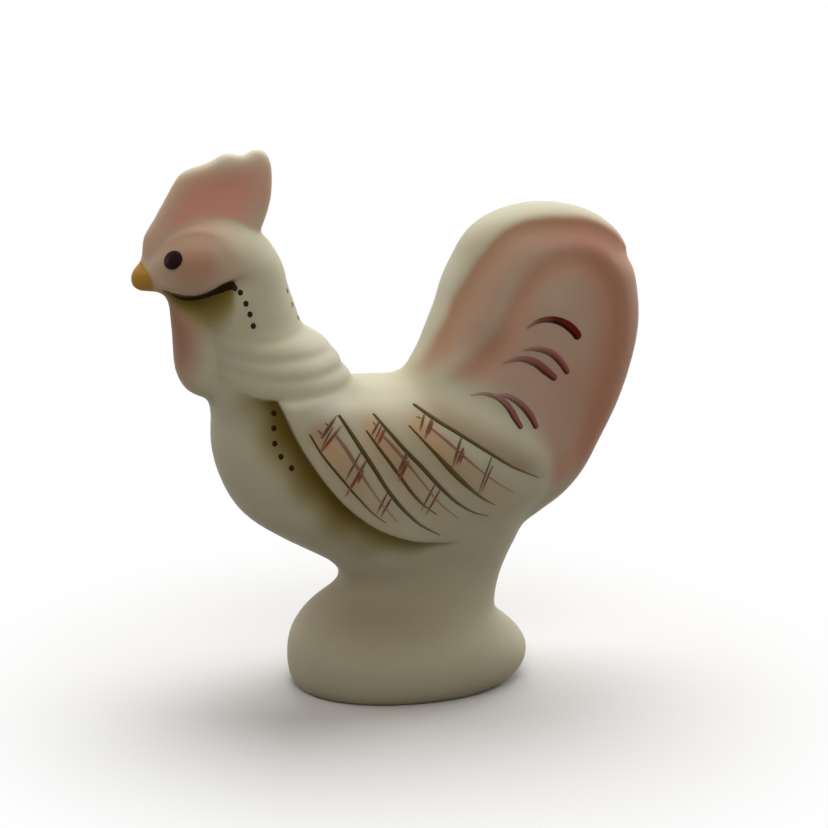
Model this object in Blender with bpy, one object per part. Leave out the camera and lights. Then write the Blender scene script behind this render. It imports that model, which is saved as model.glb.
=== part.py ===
"""A rooster figurine pressed in satin glass: one solid piece, standing on its own oval foot.

Run with: blender --background --python part.py
The frame is in metres. The origin is the middle of the foot's flat underside, +Z is up, the head is
towards -X and the tail towards +X, and the two halves of the mould met on the plane Y = 0.
Tables of sections are in millimetres, as they would be on the mould maker's drawing.
"""

import math

import bmesh
import bpy
import numpy as np
from mathutils import Matrix

MM = 0.001

# The whole figure: along X, along Y and up
LENGTH, WIDTH, HEIGHT = 124.7 * MM, 50.9 * MM, 133.0 * MM

# The mesh
SKIN_CELL = 0.75 * MM
TRIANGLES = 11600
ROWS, COLUMNS = 72, 72
ROUNDING_PASSES, HIP_PASSES, EASING_PASSES = 6, 60, 2

# The comb, a plate that stands on the crown
COMB_THICKNESS = 7.4 * MM
COMB_EDGE = 2.3 * MM
COMB_TOP_SHARE = 0.72
COMB_FRONT_SHARE = 0.62

# What is cut into the surface: how wide each line is, and how deep
RIM_RISE, RIM_RISE_FADE = 0.25 * MM, 4.0 * MM
RIM_CUT, RIM_CUT_FADE = 1.35 * MM, 7.5 * MM
RIM_RAMP = 3.4 * MM
HEART_RISE, HEART_RISE_FADE = 0.25 * MM, 4.0 * MM
HEART_CUT, HEART_CUT_FADE = 1.1 * MM, 8.5 * MM
HEART_RAMP = 4.4 * MM
TAIL_RELIEF_FROM, TAIL_RELIEF_GROWS_OVER = 77.0 * MM, 15.0 * MM
WING_RISE, WING_RISE_FADE = 2.0 * MM, 17.0 * MM
WING_CUT, WING_CUT_FADE = 1.9 * MM, 7.0 * MM
WING_RAMP = 1.3 * MM
WING_END_FADE = (-8.0 * MM, 9.0 * MM)
JAW_RISE, JAW_RISE_FADE = 0.5 * MM, 5.0 * MM
JAW_CUT, JAW_CUT_FADE = 1.3 * MM, 6.5 * MM
JAW_RAMP = 1.3 * MM
BROW_RISE, BROW_RISE_FADE = 0.20 * MM, 2.4 * MM
BROW_CUT, BROW_CUT_FADE = 0.5 * MM, 5.0 * MM
BROW_RAMP = 1.4 * MM
RUFF_ROLL = 0.62 * MM
ROLL_SAG = 0.7
COMB_HOLLOW_DEPTH = 0.6 * MM

# How square the level sections are: 2 is an ellipse, more is fuller
TRUNK_SQUARENESS, TAIL_SQUARENESS, WATTLE_SQUARENESS = 2.15, 2.5, 2.3

# Level sections: height, front, back, half width
TRUNK = [
    (-4.0, -2.0, -2.0, 0.0),
    (-1.5, -27.4, 22.0, 18.6),
    (1.0, -29.9, 26.1, 21.2),
    (4.0, -30.9, 29.2, 22.6),
    (8.0, -31.0, 29.8, 22.9),
    (12.0, -30.5, 27.2, 22.0),
    (15.0, -29.2, 23.6, 20.4),
    (17.5, -27.6, 21.3, 18.8),
    (20.5, -24.8, 21.4, 16.9),
    (23.5, -20.6, 22.0, 15.2),
    (26.3, -17.8, 22.7, 14.3),
    (28.5, -17.6, 23.5, 14.3),
    (31.8, -20.2, 24.8, 15.4),
    (36.0, -26.8, 26.8, 17.8),
    (40.0, -33.8, 28.6, 20.2),
    (44.5, -40.4, 31.6, 22.3),
    (48.8, -44.2, 37.2, 23.8),
    (56.5, -47.7, 40.4, 24.9),
    (62.0, -48.9, 38.6, 25.0),
    (66.5, -49.0, 34.6, 23.9),
    (71.0, -48.4, 27.0, 21.2),
    (74.2, -46.0, 18.0, 17.0),
    (76.0, -40.0, 9.0, 11.0),
    (76.9, -20.0, -8.0, 0.0),
]
TAIL = [
    (38.5, 25.0, 25.0, 0.0),
    (40.5, 12.0, 30.2, 9.0),
    (44.0, 6.0, 34.6, 12.5),
    (47.0, 4.0, 38.8, 14.0),
    (52.0, 2.0, 43.4, 15.0),
    (60.4, 0.0, 48.0, 15.8),
    (68.0, -1.0, 52.0, 15.4),
    (75.5, -2.8, 55.0, 14.6),
    (79.0, -1.0, 56.0, 14.2),
    (84.0, 2.1, 57.2, 13.6),
    (90.6, 4.9, 57.8, 13.0),
    (95.5, 6.8, 57.4, 12.6),
    (100.3, 8.0, 56.6, 12.2),
    (106.6, 11.0, 54.4, 11.4),
    (110.6, 13.2, 52.1, 10.6),
    (114.2, 17.0, 48.2, 9.2),
    (116.8, 22.4, 43.2, 7.0),
    (118.2, 27.6, 38.0, 4.2),
    (118.7, 32.0, 33.5, 0.0),
]
NECK = [
    (58.0, -30.0, -10.0, 0.0),
    (62.0, -46.0, 8.0, 18.0),
    (66.0, -48.4, 10.0, 21.8),
    (70.0, -48.7, 5.0, 21.7),
    (74.0, -49.4, -4.0, 20.6),
    (77.0, -49.4, -12.8, 19.5),
    (78.8, -49.0, -15.2, 19.3),
    (82.0, -49.0, -17.6, 18.6),
    (85.7, -49.4, -19.6, 16.8),
    (89.5, -50.2, -24.0, 14.8),
    (91.8, -51.0, -26.8, 13.8),
    (96.0, -52.5, -28.2, 12.9),
    (101.9, -54.5, -30.2, 12.2),
    (106.0, -56.0, -31.0, 11.8),
    (109.5, -56.0, -32.8, 11.0),
    (112.5, -54.0, -34.8, 8.0),
    (115.0, -50.0, -38.5, 4.0),
    (116.2, -44.0, -42.0, 0.0),
]
WATTLE = [
    (74.7, -49.6, -48.6, 0.0),
    (75.2, -51.8, -46.5, 3.2),
    (76.7, -54.6, -45.5, 5.4),
    (79.0, -56.2, -45.0, 6.5),
    (82.0, -57.2, -45.0, 7.0),
    (86.4, -57.5, -45.0, 7.0),
    (91.0, -57.7, -45.0, 6.5),
    (95.9, -58.2, -46.0, 5.6),
    (98.5, -59.2, -47.0, 4.4),
    (101.0, -57.4, -50.0, 0.0),
]
# Upright sections: distance along X, bottom, top, half width
HEAD = [
    (-67.4, 103.6, 103.6, 0.0),
    (-66.7, 101.6, 105.6, 2.3),
    (-65.2, 100.5, 107.1, 3.5),
    (-63.2, 100.0, 108.9, 4.8),
    (-61.6, 99.6, 110.7, 6.2),
    (-59.8, 99.2, 112.5, 8.0),
    (-57.0, 98.8, 114.8, 10.3),
    (-53.0, 98.4, 116.9, 12.2),
    (-48.0, 97.8, 117.9, 12.8),
    (-43.0, 96.6, 117.2, 12.2),
    (-38.6, 95.6, 115.2, 10.2),
    (-35.4, 97.0, 112.0, 7.4),
    (-32.6, 105.0, 107.0, 0.0),
]
# The comb's outline, (along X, height), round from its front foot
COMB = [
    (-64.0, 108.0), (-64.2, 112.1), (-60.8, 118.2), (-57.3, 124.2), (-54.7, 128.1), (-51.6, 129.4),
    (-47.6, 130.4), (-45.0, 132.1), (-42.6, 132.5), (-40.0, 131.3), (-37.8, 133.1), (-35.5, 133.4),
    (-33.6, 130.8), (-33.1, 125.6), (-34.1, 119.5), (-36.4, 114.1), (-42.0, 109.0), (-55.0, 107.0),
]
# Lines cut into both sides, (along X, height)
RIM_EDGE = [
    (-1.6, 77.4), (2.1, 81.2), (5.0, 86.0), (7.9, 91.6), (9.8, 96.6), (12.4, 101.4), (14.9, 105.3),
    (18.0, 109.1), (21.2, 112.1), (25.6, 114.1), (30.4, 114.8), (36.0, 114.8), (41.2, 114.3), (45.8, 112.7),
    (49.4, 110.5), (52.4, 107.8),
]
HEART_EDGE = [
    (4.0, 77.4), (8.8, 79.3), (13.4, 83.2), (17.6, 87.4), (20.6, 92.4), (22.6, 96.8), (25.2, 100.9),
    (28.2, 104.2), (31.8, 106.4), (35.8, 107.3), (40.2, 107.1), (44.4, 105.4), (47.6, 102.2), (49.5, 98.0),
    (50.4, 92.4), (50.1, 85.0), (48.7, 77.6), (45.9, 69.6), (42.3, 62.4), (38.4, 56.0), (34.2, 50.8),
]
WING_EDGE = [
    (-36.2, 77.2), (-34.5, 73.4), (-32.4, 68.6), (-29.6, 63.4), (-25.6, 57.4), (-21.0, 51.9), (-14.6, 46.7),
    (-8.0, 43.4), (-3.1, 41.8), (3.5, 40.6), (10.0, 40.4),
]
JAW_LINE = [
    (-60.5, 102.0), (-57.6, 101.0), (-55.0, 100.4), (-52.9, 100.5), (-51.0, 101.2), (-49.1, 102.3),
    (-47.4, 103.4), (-45.8, 104.2), (-44.2, 104.6),
]
BROW_LINE = [
    (-58.1, 112.5), (-56.7, 113.6), (-55.3, 114.2), (-53.8, 114.6), (-52.2, 114.8), (-50.5, 114.8),
    (-48.7, 114.3), (-47.2, 113.3), (-46.0, 111.8), (-45.2, 110.2),
]
# Where the wing's top flows into the tail: centre and radii, (along X, height)
HIP = ((20.0, 73.0), (26.0, 12.0))
# The ruff's creases, top to bottom, from the breast to the back, (along X, height)
RUFF_CREASES = [
    [(-52.0, 93.4), (-49.2, 92.0), (-46.1, 91.0), (-42.7, 90.4), (-38.7, 90.0), (-34.5, 90.2), (-28.9, 90.9)],
    [(-52.0, 88.2), (-49.3, 87.3), (-46.1, 86.4), (-42.7, 86.1), (-39.1, 85.8), (-31.1, 86.0), (-22.4, 86.2)],
    [(-52.0, 84.4), (-46.8, 83.1), (-40.9, 82.4), (-34.6, 81.7), (-28.3, 81.8), (-21.1, 82.1), (-17.0, 82.0)],
    [(-52.0, 81.8), (-47.7, 80.2), (-43.0, 78.4), (-39.0, 77.1), (-35.8, 77.0), (-26.7, 77.9), (-15.0, 78.8)],
]
RUFF_FROM_X, RUFF_TO_X = -50.0, -16.0
RUFF_GROWS_OVER, RUFF_ENDS_OVER = 0.5, 0.15
# A shallow hollow in the comb: centre and radii, (along X, height)
COMB_HOLLOW = ((-46.0, 123.5), (12.0, 6.5))


def smooth_rows(rows, steps):
    """Rows of numbers read off a smooth curve through the given rows, by distance along them."""
    rows = np.array(rows, float)
    gaps = np.linalg.norm(np.diff(rows, axis=0), axis=1)
    at = np.concatenate([[0.0], np.cumsum(gaps)])
    slopes = np.gradient(rows, at, axis=0)
    wanted = np.linspace(0.0, at[-1], steps)
    span = np.clip(np.searchsorted(at, wanted, side="right") - 1, 0, len(rows) - 2)
    width = (at[span + 1] - at[span])[:, None]
    t = (wanted - at[span])[:, None] / width
    ease = t * t * (3.0 - 2.0 * t)
    leave = t * (1.0 - t) ** 2 * width * slopes[span]
    arrive = t * t * (t - 1.0) * width * slopes[span + 1]
    return rows[span] * (1.0 - ease) + rows[span + 1] * ease + leave + arrive


def add_mass(bm, sections, along, squareness=2.0):
    """A closed, rounded mass: the rows of a unit ball moved out to the sections.

    along is the axis that the sections are stacked on, "Z" or "X". squareness 2 gives ellipses,
    and more gives fuller, flatter-sided ovals.
    """
    ball = bmesh.ops.create_uvsphere(bm, u_segments=COLUMNS, v_segments=ROWS, radius=1.0)
    place, low, high, half = (smooth_rows(sections, ROWS + 1) * MM).T
    half = np.maximum(half, 0.0)
    for vertex in ball["verts"]:
        row = round((math.asin(max(-1.0, min(1.0, vertex.co.z))) / math.pi + 0.5) * ROWS)
        ring = math.hypot(vertex.co.x, vertex.co.y)
        cosine = vertex.co.x / ring if ring > 1e-6 else 0.0
        sine = vertex.co.y / ring if ring > 1e-6 else 0.0
        out = math.copysign(abs(cosine) ** (2.0 / squareness), cosine) * min(1.0, ring * 1e6)
        side = math.copysign(abs(sine) ** (2.0 / squareness), sine) * half[row]
        across = (low[row] + high[row]) / 2.0 + out * (high[row] - low[row]) / 2.0
        vertex.co = (across, side, place[row]) if along == "Z" else (place[row], side, across)


def add_comb(bm):
    """A rounded plate with the comb's outline, thinner towards its points."""
    curve = bpy.data.curves.new("comb_outline", "CURVE")
    curve.dimensions = "2D"
    curve.fill_mode = "BOTH"
    curve.extrude = COMB_THICKNESS / 2.0 - COMB_EDGE
    curve.bevel_depth = COMB_EDGE
    curve.bevel_resolution = 5
    curve.offset = -COMB_EDGE
    points = smooth_rows(COMB + COMB[:1], 6 * len(COMB) + 1)[:-1] * MM
    line = curve.splines.new("POLY")
    line.points.add(len(points) - 1)
    for point, (x, z) in zip(line.points, points):
        point.co = (x, z, 0.0, 1.0)
    line.use_cyclic_u = True
    outline = bpy.data.objects.new("comb_outline", curve)
    bpy.context.scene.collection.objects.link(outline)
    bpy.context.view_layer.update()
    plate = bpy.data.meshes.new_from_object(outline.evaluated_get(bpy.context.evaluated_depsgraph_get()))
    bpy.data.objects.remove(outline)
    plate.transform(Matrix.Rotation(math.pi / 2.0, 4, "X"))
    foot, top = COMB[0][1] * MM, max(z for _, z in COMB) * MM
    front, middle = COMB[0][0] * MM, sum(x for x, _ in COMB) / len(COMB) * MM
    for vertex in plate.vertices:
        rise = max(0.0, (vertex.co.z - foot) / (top - foot))
        back = min(1.0, max(0.0, (vertex.co.x - front) / (middle - front)))
        vertex.co.y *= 1.0 + (COMB_TOP_SHARE - 1.0) * rise
        vertex.co.y *= COMB_FRONT_SHARE + (1.0 - COMB_FRONT_SHARE) * back
    bm.from_mesh(plate)
    bpy.data.meshes.remove(plate)


def skinned(bm):
    """One skin round all the masses that overlap, as a mesh of small even cells."""
    mesh = bpy.data.meshes.new("masses")
    bm.to_mesh(mesh)
    holder = bpy.data.objects.new("masses", mesh)
    bpy.context.scene.collection.objects.link(holder)
    remesh = holder.modifiers.new("skin", "REMESH")
    remesh.mode = "VOXEL"
    remesh.voxel_size = SKIN_CELL
    bpy.context.view_layer.update()
    skin = bpy.data.meshes.new_from_object(holder.evaluated_get(bpy.context.evaluated_depsgraph_get()))
    bpy.data.objects.remove(holder)
    return skin


def smoothed(mesh, passes):
    """The mesh with each vertex moved towards its neighbours, which rounds the joins of the masses."""
    bm = bmesh.new()
    bm.from_mesh(mesh)
    for _ in range(passes):
        bmesh.ops.smooth_vert(bm, verts=bm.verts, factor=0.5, use_axis_x=True, use_axis_y=True, use_axis_z=True)
    bm.to_mesh(mesh)
    bm.free()


def eased_hip(mesh, passes):
    """Smooths the valley between wing and tail, which flow into each other without a line."""
    centre, radii = HIP
    bm = bmesh.new()
    bm.from_mesh(mesh)
    valley = [
        vertex for vertex in bm.verts
        if math.hypot((vertex.co.x / MM - centre[0]) / radii[0], (vertex.co.z / MM - centre[1]) / radii[1]) < 1.0
    ]
    for _ in range(passes):
        bmesh.ops.smooth_vert(bm, verts=valley, factor=0.5, use_axis_x=True, use_axis_y=True, use_axis_z=True)
    bm.to_mesh(mesh)
    bm.free()


def smooth_step(value):
    value = np.clip(value, 0.0, 1.0)
    return value * value * (3.0 - 2.0 * value)


def distance_to_line(x, z, line):
    """How far each (x, z) is from a smooth line, and on which side: positive is left of its direction."""
    points = smooth_rows(line, 8 * len(line)) * MM
    best = np.full(len(x), 1.0)
    side = np.zeros(len(x))
    for (ax, az), (bx, bz) in zip(points[:-1], points[1:]):
        dx, dz = bx - ax, bz - az
        share = np.clip(((x - ax) * dx + (z - az) * dz) / (dx * dx + dz * dz), 0.0, 1.0)
        away = np.hypot(x - ax - share * dx, z - az - share * dz)
        nearer = away < best
        best[nearer] = away[nearer]
        side[nearer] = np.sign(dx * (z - az) - dz * (x - ax))[nearer]
    return best, side


def step(x, z, line, rise, rise_fade, cut, cut_fade, ramp):
    """A step along a line: proud on its left, cut back on its right, each fading away from it."""
    away, side = distance_to_line(x, z, line)
    proud = rise * (1.0 - smooth_step(away / rise_fade))
    low = -cut * (1.0 - smooth_step(away / cut_fade))
    return low + (proud - low) * smooth_step(away * side / ramp + 0.5)


def tail_relief(x, z):
    """The rim and the heart of the tail, each a soft step down inwards, growing out of the saddle."""
    rim = step(x, z, RIM_EDGE, RIM_RISE, RIM_RISE_FADE, RIM_CUT, RIM_CUT_FADE, RIM_RAMP)
    heart = step(x, z, HEART_EDGE, HEART_RISE, HEART_RISE_FADE, HEART_CUT, HEART_CUT_FADE, HEART_RAMP)
    return (rim + heart) * smooth_step((x + z - TAIL_RELIEF_FROM) / TAIL_RELIEF_GROWS_OVER)


def crease_height(x, crease):
    """How high a crease of the ruff runs at each x."""
    along, heights = np.array(crease).T * MM
    return np.interp(x, along, heights)


def wing_step(x, z):
    """The wing's front edge: it starts under the ruff and sinks into the belly at its far end."""
    begin, finish = WING_END_FADE
    under_ruff = smooth_step((crease_height(x, RUFF_CREASES[-1]) - z) / WING_RAMP)
    lasting = 1.0 - smooth_step((x - begin) / (finish - begin))
    edge = step(x, z, WING_EDGE, WING_RISE, WING_RISE_FADE, WING_CUT, WING_CUT_FADE, WING_RAMP)
    return edge * under_ruff * lasting


def hollow(x, z, centre, radii, depth):
    """A shallow oval hollow."""
    away = np.hypot((x / MM - centre[0]) / radii[0], (z / MM - centre[1]) / radii[1])
    return -depth * (1.0 - smooth_step(away))


def ruff(x, z):
    """Three soft rolls round the neck, each one bulging between two creases and flat at the breast."""
    share = (x / MM - RUFF_FROM_X) / (RUFF_TO_X - RUFF_FROM_X)
    creases = [crease_height(x, crease) for crease in RUFF_CREASES]
    rolls = np.zeros(len(x))
    for upper, lower in zip(creases[:-1], creases[1:]):
        place = np.clip((z - lower) / (upper - lower), 0.0, 1.0)
        rolls += RUFF_ROLL * np.sin(np.pi * place ** ROLL_SAG)
    return rolls * smooth_step(share / RUFF_GROWS_OVER) * (1.0 - smooth_step((share - 1.0) / RUFF_ENDS_OVER))


def carve(mesh):
    """Moves the skin in and out along its normals, as the mould's cutter did."""
    count = len(mesh.vertices)
    points = np.empty(count * 3)
    normals = np.empty(count * 3)
    mesh.vertices.foreach_get("co", points)
    mesh.vertices.foreach_get("normal", normals)
    points = points.reshape(-1, 3)
    normals = normals.reshape(-1, 3)
    x, z = points[:, 0], points[:, 2]
    move = tail_relief(x, z)
    move += wing_step(x, z)
    move += step(x, z, JAW_LINE, JAW_RISE, JAW_RISE_FADE, JAW_CUT, JAW_CUT_FADE, JAW_RAMP)
    move += step(x, z, BROW_LINE, BROW_RISE, BROW_RISE_FADE, BROW_CUT, BROW_CUT_FADE, BROW_RAMP)
    move += hollow(x, z, *COMB_HOLLOW, COMB_HOLLOW_DEPTH)
    move += ruff(x, z)
    points += normals * move[:, None]
    mesh.vertices.foreach_set("co", points.ravel())
    mesh.update()


def grind_foot(mesh):
    """Cuts the underside flat at Z = 0, as a grinding wheel does."""
    bm = bmesh.new()
    bm.from_mesh(mesh)
    everything = bm.verts[:] + bm.edges[:] + bm.faces[:]
    cut = bmesh.ops.bisect_plane(bm, geom=everything, plane_co=(0, 0, 0), plane_no=(0, 0, 1), clear_inner=True)
    rim = [part for part in cut["geom_cut"] if isinstance(part, bmesh.types.BMEdge)]
    bmesh.ops.contextual_create(bm, geom=rim)
    bm.to_mesh(mesh)
    bm.free()


def brought_to_size(mesh):
    """Stretches the figure along each axis to its overall size, about the middle of its foot."""
    points = np.array([vertex.co for vertex in mesh.vertices])
    drawn = points.max(axis=0) - points.min(axis=0)
    mesh.transform(Matrix.Diagonal((LENGTH / drawn[0], WIDTH / drawn[1], HEIGHT / drawn[2], 1.0)))


def satin_glass():
    material = bpy.data.materials.new("satin_glass")
    material.use_nodes = True
    shader = material.node_tree.nodes["Principled BSDF"]
    shader.inputs["Base Color"].default_value = (0.76, 0.70, 0.54, 1.0)
    shader.inputs["Roughness"].default_value = 0.45
    shader.inputs["Metallic"].default_value = 0.0
    return material


def make_rooster():
    bm = bmesh.new()
    add_mass(bm, TRUNK, "Z", TRUNK_SQUARENESS)
    add_mass(bm, TAIL, "Z", TAIL_SQUARENESS)
    add_mass(bm, NECK, "Z")
    add_mass(bm, WATTLE, "Z", WATTLE_SQUARENESS)
    add_mass(bm, HEAD, "X")
    add_comb(bm)
    mesh = skinned(bm)
    bm.free()
    smoothed(mesh, ROUNDING_PASSES)
    eased_hip(mesh, HIP_PASSES)
    carve(mesh)
    smoothed(mesh, EASING_PASSES)
    grind_foot(mesh)
    brought_to_size(mesh)
    mesh.name = "rooster"
    rooster = bpy.data.objects.new("rooster", mesh)
    bpy.context.scene.collection.objects.link(rooster)
    rooster.data.materials.append(satin_glass())
    mesh.calc_loop_triangles()
    thin = rooster.modifiers.new("fewer_faces", "DECIMATE")
    thin.ratio = TRIANGLES / len(mesh.loop_triangles)
    return rooster


for old in list(bpy.data.objects):
    bpy.data.objects.remove(old)
make_rooster()
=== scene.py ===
# %% [markdown]
# # A hand-painted rooster in satin glass
#
# The figure is one pressing of solid, opaque custard glass. It came out of the mould shiny, was dipped in
# acid until its skin turned to satin, and was then painted by hand: airbrushed stains first (pink, olive,
# ochre), then fine brush lines and small raised beads of enamel, all fired on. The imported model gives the
# pressing. This lesson gives it the satin skin, the crisp lines that the mould's cutter left, and the paint.

import math

import bmesh
import bpy
import numpy as np
from mathutils import Matrix, Vector
from mathutils.bvhtree import BVHTree

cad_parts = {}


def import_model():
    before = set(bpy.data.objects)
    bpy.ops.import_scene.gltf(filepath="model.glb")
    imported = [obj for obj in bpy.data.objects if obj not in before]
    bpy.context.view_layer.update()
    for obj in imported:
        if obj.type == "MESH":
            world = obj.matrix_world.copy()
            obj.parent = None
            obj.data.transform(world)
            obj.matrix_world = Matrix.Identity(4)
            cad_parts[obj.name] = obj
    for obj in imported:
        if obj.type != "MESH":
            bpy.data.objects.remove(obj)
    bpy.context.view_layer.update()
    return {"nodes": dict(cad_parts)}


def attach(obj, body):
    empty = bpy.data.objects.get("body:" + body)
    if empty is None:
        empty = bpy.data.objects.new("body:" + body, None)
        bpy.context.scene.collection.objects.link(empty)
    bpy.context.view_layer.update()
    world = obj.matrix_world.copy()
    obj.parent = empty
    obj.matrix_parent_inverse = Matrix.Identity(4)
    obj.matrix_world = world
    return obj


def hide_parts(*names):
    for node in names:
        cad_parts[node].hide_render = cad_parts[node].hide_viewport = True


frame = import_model()
MM = 0.001

# %% [markdown]
# ## The camera
#
# A product photographer stands back with a short telephoto lens, so that a small thing keeps its
# proportions. We could look the lens up, but nobody wrote it down, so it was found by matching the outline:
# a camera 480 mm away, 14 degrees up and 14 degrees round towards the head. The painted lines were read off
# the same photograph, so the camera comes first, and later cells shine its pixels onto the glass.

# %% Camera
IMAGE_SIDE = 828
CAMERA_AZIMUTH = math.radians(-14.0)
CAMERA_ELEVATION = math.radians(14.0)
CAMERA_DISTANCE = 480.0 * MM
PIXELS_PER_METRE = 4100.0
AIM = Vector((-3.0, 0.0, 65.2)) * MM
AIM_PIXEL = (398.0, 424.0)
NEAREST_SEEN = 10.0 * MM

camera_data = bpy.data.cameras.new("camera")
camera_data.lens = camera_data.sensor_width * PIXELS_PER_METRE * CAMERA_DISTANCE / IMAGE_SIDE
camera_data.shift_x = 0.5 - AIM_PIXEL[0] / IMAGE_SIDE
camera_data.shift_y = AIM_PIXEL[1] / IMAGE_SIDE - 0.5
camera_data.clip_start = NEAREST_SEEN
camera = bpy.data.objects.new("camera", camera_data)
bpy.context.scene.collection.objects.link(camera)
away = Vector((
    math.sin(CAMERA_AZIMUTH) * math.cos(CAMERA_ELEVATION),
    -math.cos(CAMERA_AZIMUTH) * math.cos(CAMERA_ELEVATION),
    math.sin(CAMERA_ELEVATION),
))
camera.location = AIM + away * CAMERA_DISTANCE
camera.rotation_euler = away.to_track_quat("Z", "Y").to_euler()
bpy.context.scene.camera = camera
print("lens %.1f mm" % camera_data.lens)


def ray_through(pixel):
    """Where the ray through a pixel of the photograph starts, and which way it goes."""
    across = (pixel[0] / IMAGE_SIDE - 0.5 + camera_data.shift_x) * camera_data.sensor_width
    up = (0.5 - pixel[1] / IMAGE_SIDE + camera_data.shift_y) * camera_data.sensor_width
    turned = camera.rotation_euler.to_matrix() @ Vector((across, up, -camera_data.lens))
    return camera.location, turned.normalized()


# %% [markdown]
# ## Light
#
# Satin glass is best under a broad soft light from above and a little behind, which draws a bright line
# along every upper edge and leaves the sides calm. Small lamps would do it too, but they leave hard spots.
# Here one large panel stands above and behind, two fainter ones stand at the sides to lift the outline, and
# a small one in front keeps the near side from going dull. The room around is faint and warm on the glass,
# and plain white where the camera looks straight at it.

# %% Light
ROOM_LIGHT = 0.145
ROOM_TINT = (1.0, 0.95, 0.87, 1.0)
PLAIN_WHITE = (1.0, 1.0, 1.0, 1.0)
FRONT_TINT = (1.0, 0.95, 0.88)
PANEL_SIZE = 0.55
PANEL_POWER = 3.1
PANEL_PLACE = Vector((0.10, 0.22, 0.62))
FRONT_SIZE = 0.30
FRONT_POWER = 0.64
FRONT_PLACE = Vector((-0.12, -0.40, 0.42))
SIDE_SIZE = 0.5
LEFT_POWER, LEFT_PLACE = 0.55, Vector((-0.50, 0.34, 0.36))
RIGHT_POWER, RIGHT_PLACE = 1.4, Vector((0.62, 0.24, 0.26))

scene = bpy.context.scene
scene.view_settings.view_transform = "Standard"


def add_panel(name, place, size, power, tint=(1.0, 1.0, 1.0)):
    """A square panel of light that faces the bird."""
    lamp = bpy.data.lights.new(name, "AREA")
    lamp.size = size
    lamp.energy = power
    lamp.color = tint
    panel = bpy.data.objects.new(name, lamp)
    panel.location = place
    panel.rotation_euler = (AIM - place).to_track_quat("-Z", "Y").to_euler()
    scene.collection.objects.link(panel)


add_panel("panel_above", PANEL_PLACE, PANEL_SIZE, PANEL_POWER)
add_panel("panel_front", FRONT_PLACE, FRONT_SIZE, FRONT_POWER, FRONT_TINT)
add_panel("panel_left", LEFT_PLACE, SIDE_SIZE, LEFT_POWER)
add_panel("panel_right", RIGHT_PLACE, SIDE_SIZE, RIGHT_POWER)


def seen_directly(nodes, links):
    """1 for rays from the camera and for what gloss and glass show, 0 for light on its way."""
    path = nodes.new("ShaderNodeLightPath")
    total = path.outputs["Is Camera Ray"]
    for name in ("Is Glossy Ray", "Is Transmission Ray"):
        add = nodes.new("ShaderNodeMath")
        add.operation = "ADD"
        add.use_clamp = True
        links.new(total, add.inputs[0])
        links.new(path.outputs[name], add.inputs[1])
        total = add.outputs[0]
    return total


def spread_over(nodes, links, value, low, high):
    """Turns a value of 0 to 1 into one of low to high."""
    spread = nodes.new("ShaderNodeMapRange")
    spread.inputs["To Min"].default_value = low
    spread.inputs["To Max"].default_value = high
    links.new(value, spread.inputs["Value"])
    return spread.outputs["Result"]


def either_colour(nodes, links, share, first, second):
    """The first colour where the share is 0, and the second where it is 1."""
    mix = nodes.new("ShaderNodeMix")
    mix.data_type = "RGBA"
    mix.inputs["A"].default_value = first
    mix.inputs["B"].default_value = second
    links.new(share, mix.inputs["Factor"])
    return mix.outputs["Result"]


world = bpy.data.worlds.new("room")
world.use_nodes = True
scene.world = world
room = world.node_tree.nodes["Background"]
nodes, links = world.node_tree.nodes, world.node_tree.links
seen = seen_directly(nodes, links)
links.new(spread_over(nodes, links, seen, ROOM_LIGHT, 1.0), room.inputs["Strength"])
links.new(either_colour(nodes, links, seen, ROOM_TINT, PLAIN_WHITE), room.inputs["Color"])

# %% [markdown]
# ## The table
#
# The figure stands on a matt white sheet. A plain white material would do, but it would throw so much light
# back up that the underside of the bird lost its shade. So the sheet looks white to the camera and throws
# little back, as it does in a studio when the lamps are flagged off it. Away from the foot it turns into an
# even glow, so that the soft shadow fades out before the picture's edge.

# %% Table
TABLE_SIZE = 6.0
TABLE_THROWS_BACK = (0.30, 0.28, 0.25, 1.0)
TABLE_LOOKS = (0.97, 0.97, 0.97, 1.0)
SHADOW_REACH = (0.04, 0.13)

sheet = bmesh.new()
bmesh.ops.create_grid(sheet, x_segments=1, y_segments=1, size=TABLE_SIZE / 2.0)
table_mesh = bpy.data.meshes.new("table")
sheet.to_mesh(table_mesh)
sheet.free()
table = bpy.data.objects.new("table", table_mesh)
scene.collection.objects.link(table)

white = bpy.data.materials.new("white_table")
white.use_nodes = True
nodes, links = white.node_tree.nodes, white.node_tree.links
nodes.clear()
output = nodes.new("ShaderNodeOutputMaterial")
seen = seen_directly(nodes, links)
matt = nodes.new("ShaderNodeBsdfDiffuse")
links.new(either_colour(nodes, links, seen, TABLE_THROWS_BACK, TABLE_LOOKS), matt.inputs["Color"])
glow = nodes.new("ShaderNodeEmission")
place = nodes.new("ShaderNodeTexCoord")
from_foot = nodes.new("ShaderNodeVectorMath")
from_foot.operation = "LENGTH"
links.new(place.outputs["Object"], from_foot.inputs[0])
far = nodes.new("ShaderNodeMapRange")
far.interpolation_type = "SMOOTHSTEP"
far.inputs["From Min"].default_value, far.inputs["From Max"].default_value = SHADOW_REACH
links.new(from_foot.outputs["Value"], far.inputs["Value"])
glows = nodes.new("ShaderNodeMath")
glows.operation = "MULTIPLY"
links.new(far.outputs["Result"], glows.inputs[0])
links.new(seen, glows.inputs[1])
blend = nodes.new("ShaderNodeMixShader")
links.new(glows.outputs[0], blend.inputs["Fac"])
links.new(matt.outputs[0], blend.inputs[1])
links.new(glow.outputs[0], blend.inputs[2])
links.new(blend.outputs[0], output.inputs["Surface"])
table_mesh.materials.append(white)
print("table: %.0f m square" % TABLE_SIZE)

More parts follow.
